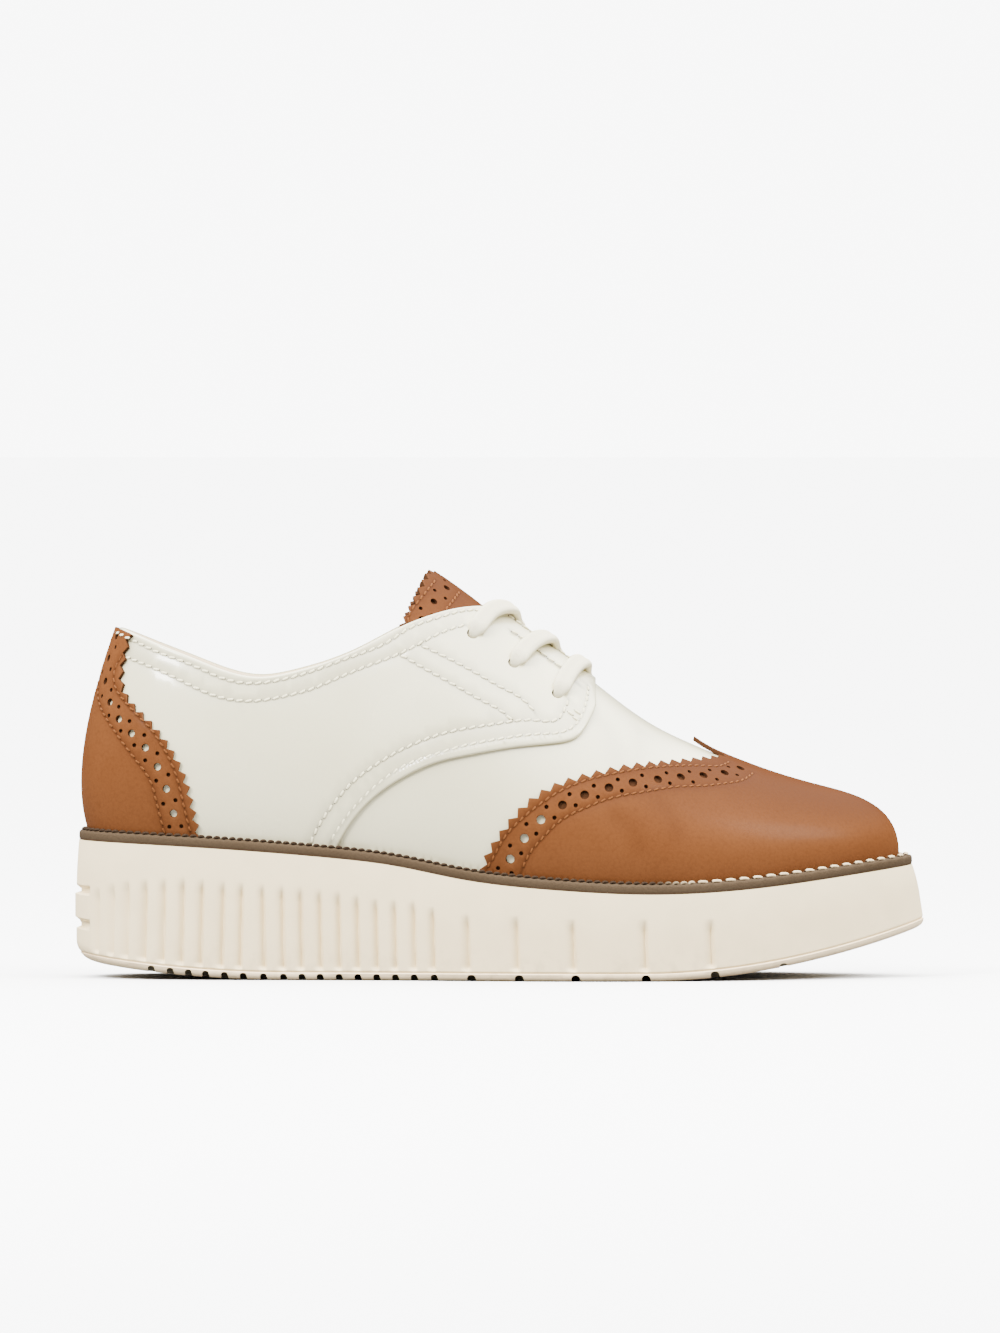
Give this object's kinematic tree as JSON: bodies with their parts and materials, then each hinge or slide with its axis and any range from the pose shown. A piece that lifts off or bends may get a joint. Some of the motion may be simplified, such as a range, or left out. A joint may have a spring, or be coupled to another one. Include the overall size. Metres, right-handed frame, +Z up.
{
  "type": "platform oxford",
  "caption": "Woman's right platform oxford: two-tone wing tip derby in white and tan leather, short lacing, low quarters and a fluted cream platform sole.",
  "frame": {"origin": "middle of the whole shoe's box, on the floor that it stands on", "axes": "+X from heel to toe, +Y to the inner side of the foot, +Z up"},
  "size_m": [0.2778, 0.0972, 0.133],
  "materials": {
    "sole_foam": "matte moulded foam, cream",
    "tread": "matte moulded rubber, pale cream",
    "welt": "brown strip with a sewn rope edge",
    "insole": "plain lining leather",
    "white_leather": "polished white leather",
    "tan_leather": "smooth tan leather with a soft sheen",
    "lace": "flat woven cotton lace"
  },
  "bodies": {
    "root": {"outsole": "tread", "platform": "sole_foam", "welt": "welt", "insole": "insole", "upper": "white_leather", "quarter_outer": "white_leather", "quarter_inner": "white_leather", "heel_counter": "tan_leather", "wing_tip": "tan_leather", "tongue": "tan_leather", "lace_top": "lace", "lace_middle": "lace", "lace_bottom": "lace"}
  },
  "joints": []
}
